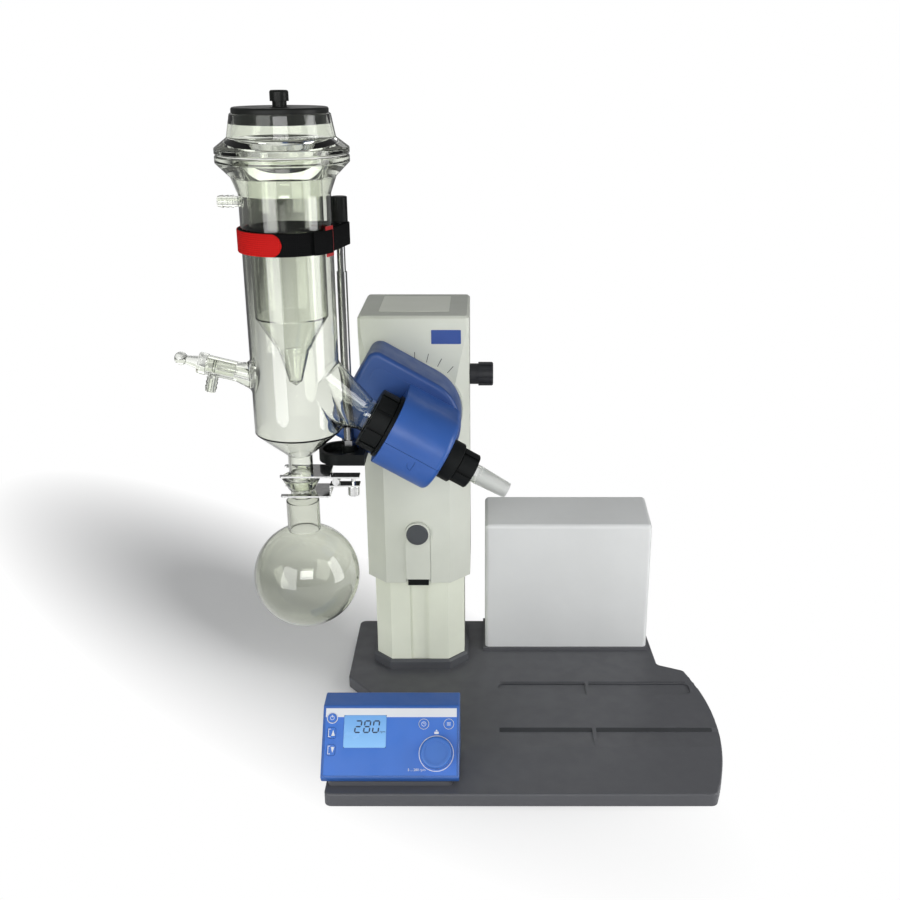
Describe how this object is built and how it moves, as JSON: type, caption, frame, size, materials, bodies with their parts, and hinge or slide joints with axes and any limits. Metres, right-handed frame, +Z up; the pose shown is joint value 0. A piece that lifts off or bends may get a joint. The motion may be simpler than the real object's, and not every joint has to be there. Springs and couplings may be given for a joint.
{
  "type": "rotary evaporator",
  "caption": "Bench rotary evaporator with a motor-lift tower, tilting belt-driven head, vertical cold-finger glass condenser, receiving flask, power box and control panel.",
  "frame": {"origin": "middle of the whole part's box in plan, on the bench", "axes": "+Z up, +X to the operator's right, -Y towards the operator, drive head in its rest tilt"},
  "size_m": [0.6826, 0.436, 0.824],
  "materials": {
    "base_grey": "fine satin paint",
    "base_grey_trim": "matte",
    "plate_steel": "satin",
    "rubber": "matte",
    "column_white": "powder coat",
    "motor_steel": "satin",
    "box_white": "satin paint",
    "black_plastic": "matte",
    "panel_blue": "satin",
    "panel_face": "satin film",
    "display": "gloss",
    "board": "solder mask",
    "steel": "ground",
    "knob_blue": "satin",
    "key": "satin",
    "carriage_grey": "fine grain",
    "guide_plastic": "smooth",
    "brass": "machined",
    "button_grey": "matte",
    "drive_blue": "satin gloss",
    "black_metal": "anodised",
    "seal_white": "smooth",
    "glass": "clear",
    "chrome": "polished",
    "strap": "woven",
    "pulley": "machined",
    "lid_black": "satin"
  },
  "bodies": {
    "stand": {"base_shell": "base_grey", "base_plate": "plate_steel", "rubber_feet": "rubber", "column_collar": "base_grey_trim", "column": "column_white", "lift_motor": "motor_steel", "power_box": "box_white", "mains_inlet": "black_plastic", "panel_housing": "panel_blue", "panel_face": "panel_face", "display_window": "display", "panel_board": "board"},
    "lift_spindle": {"lift_spindle": "steel"},
    "mains_switch": {"mains_switch": "black_plastic"},
    "speed_knob": {"speed_knob": "knob_blue"},
    "power_key": {"power_key": "key"},
    "lift_up_key": {"lift_up_key": "key"},
    "lift_down_key": {"lift_down_key": "key"},
    "timer_key": {"timer_key": "key"},
    "mode_key": {"mode_key": "key"},
    "carriage": {"carriage_shell": "carriage_grey", "guide_rings": "guide_plastic", "spindle_nut": "brass", "pivot_shaft": "steel"},
    "tilt_knob": {"tilt_knob": "black_plastic"},
    "end_stop": {"stop_slider": "carriage_grey", "stop_bar": "black_plastic"},
    "stop_button": {"stop_button": "button_grey"},
    "head": {"rear_housing": "drive_blue", "drive_body": "drive_blue", "drive_lower_cover": "drive_blue", "bearing_carrier": "black_metal", "shaft_bearings": "steel", "shaft_seal": "seal_white", "drive_motor": "motor_steel", "drive_belt": "rubber", "condenser_jacket": "glass", "flange_seal": "seal_white", "cold_finger": "glass", "receiving_flask": "glass", "flask_neck": "glass", "clamp_forks": "chrome", "holder_bracket": "black_plastic", "holder_tube": "steel", "holder_rod": "steel", "strap_block": "black_plastic", "strap": "strap", "holder_cap": "black_plastic"},
    "lock_button": {"lock_button": "drive_blue"},
    "rotor": {"hollow_shaft": "steel", "shaft_pulley": "pulley", "shaft_collar": "black_plastic", "vapour_tube": "glass"},
    "push_off_nut": {"push_off_nut": "black_plastic"},
    "motor_pulley": {"motor_pulley": "pulley"},
    "condenser_nut": {"condenser_nut": "black_plastic"},
    "lid": {"lid": "lid_black", "lid_knob": "lid_black"},
    "stopcock_key": {"stopcock_key": "glass"},
    "clamp_screw": {"clamp_screw": "chrome"}
  },
  "joints": [
    {"name": "lift", "type": "slide", "parent": "stand", "child": "carriage", "axis": [0, 0, 1], "range_m": [-0.11, 0.03]},
    {"name": "spindle_turn", "type": "hinge", "parent": "stand", "child": "lift_spindle", "pos_m": [-0.06, 0.142, 0.085], "axis": [0, 0, 1], "range_deg": [-1990, 550]},
    {"name": "drive_tilt", "type": "hinge", "parent": "carriage", "child": "head", "pos_m": [-0.06, -0.047, 0.417], "axis": [0, -1, 0], "range_deg": [-15, 30]},
    {"name": "rotation", "type": "hinge", "parent": "head", "child": "rotor", "pos_m": [-0.06, -0.047, 0.417], "axis": [0.866, 0, -0.5], "continuous": true},
    {"name": "motor_pulley_turn", "type": "hinge", "parent": "head", "child": "motor_pulley", "pos_m": [-0.06, 0.029, 0.417], "axis": [0.866, 0, -0.5], "continuous": true},
    {"name": "push_off_turn", "type": "hinge", "parent": "rotor", "child": "push_off_nut", "pos_m": [0.00755, -0.047, 0.378], "axis": [0.866, 0, -0.5], "range_deg": [0, 360]},
    {"name": "condenser_nut_turn", "type": "hinge", "parent": "head", "child": "condenser_nut", "pos_m": [-0.09724, -0.047, 0.4385], "axis": [0.866, 0, -0.5], "range_deg": [0, 360]},
    {"name": "tilt_lock_turn", "type": "hinge", "parent": "carriage", "child": "tilt_knob", "pos_m": [0.0125, 0.11, 0.455], "axis": [1, 0, 0], "range_deg": [0, 180]},
    {"name": "end_stop_slide", "type": "slide", "parent": "carriage", "child": "end_stop", "axis": [0, 0, -1], "range_m": [0, 0.06]},
    {"name": "stop_button_press", "type": "slide", "parent": "end_stop", "child": "stop_button", "axis": [0, 1, 0], "range_m": [0, 0.003], "stiffness_N_per_m": 600},
    {"name": "lock_press", "type": "slide", "parent": "head", "child": "lock_button", "axis": [0.1628, 0.9455, 0.2819], "range_m": [0, 0.002], "stiffness_N_per_m": 600},
    {"name": "lid_lift_off", "type": "slide", "parent": "head", "child": "lid", "axis": [0, 0, 1], "range_m": [0, 0.06]},
    {"name": "stopcock_turn", "type": "hinge", "parent": "head", "child": "stopcock_key", "pos_m": [-0.1955, -0.047, 0.48409], "axis": [-0.9703, 0, 0.2419], "range_deg": [-90, 90]},
    {"name": "clamp_screw_turn", "type": "hinge", "parent": "head", "child": "clamp_screw", "pos_m": [-0.131, -0.047, 0.35], "axis": [0, 0, 1], "range_deg": [0, 360]},
    {"name": "speed_turn", "type": "hinge", "parent": "stand", "child": "speed_knob", "pos_m": [-0.0265, -0.18451, 0.05618], "axis": [0, -0.7597, 0.6503], "continuous": true},
    {"name": "power_press", "type": "slide", "parent": "stand", "child": "power_key", "axis": [0, 0.7597, -0.6503], "range_m": [0, 0.0008], "stiffness_N_per_m": 800},
    {"name": "lift_up_press", "type": "slide", "parent": "stand", "child": "lift_up_key", "axis": [0, 0.7597, -0.6503], "range_m": [0, 0.0008], "stiffness_N_per_m": 800},
    {"name": "lift_down_press", "type": "slide", "parent": "stand", "child": "lift_down_key", "axis": [0, 0.7597, -0.6503], "range_m": [0, 0.0008], "stiffness_N_per_m": 800},
    {"name": "timer_press", "type": "slide", "parent": "stand", "child": "timer_key", "axis": [0, 0.7597, -0.6503], "range_m": [0, 0.0008], "stiffness_N_per_m": 800},
    {"name": "mode_press", "type": "slide", "parent": "stand", "child": "mode_key", "axis": [0, 0.7597, -0.6503], "range_m": [0, 0.0008], "stiffness_N_per_m": 800},
    {"name": "mains_rocker", "type": "hinge", "parent": "stand", "child": "mains_switch", "pos_m": [0.14, 0.218, 0.062], "axis": [1, 0, 0], "range_deg": [-6, 6]}
  ],
  "couplings": [
    {"joint": "spindle_turn", "follows": "lift", "rad_per_m": 314.16},
    {"joint": "motor_pulley_turn", "follows": "rotation", "ratio": 3}
  ]
}
